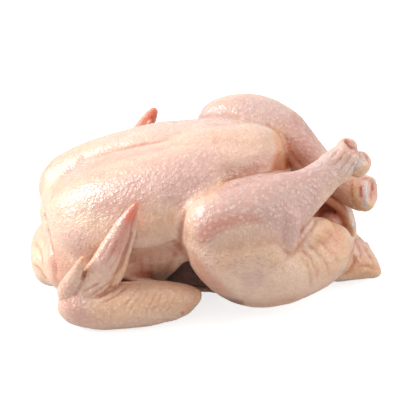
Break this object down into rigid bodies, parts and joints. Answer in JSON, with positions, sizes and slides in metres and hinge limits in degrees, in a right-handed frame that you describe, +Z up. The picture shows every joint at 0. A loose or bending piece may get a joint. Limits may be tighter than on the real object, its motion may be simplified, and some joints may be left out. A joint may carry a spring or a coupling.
{
  "type": "whole turkey",
  "caption": "Raw dressed whole turkey lying on its back, breast up, with folded wings, crossed drumsticks, tail and an open vent hollow.",
  "frame": {"origin": "middle of the bird's box, on the surface that it lies on", "axes": "+Z up out of the breast, +X towards the tail and hocks, -X towards the neck, -Y towards the near side"},
  "size_m": [0.3675, 0.2508, 0.173],
  "materials": {
    "raw_skin": "wet translucent pale raw poultry skin, pimpled, with pink and lilac flesh and yellow fat showing through"
  },
  "bodies": {
    "root": {"whole_turkey": "raw_skin"}
  },
  "joints": []
}
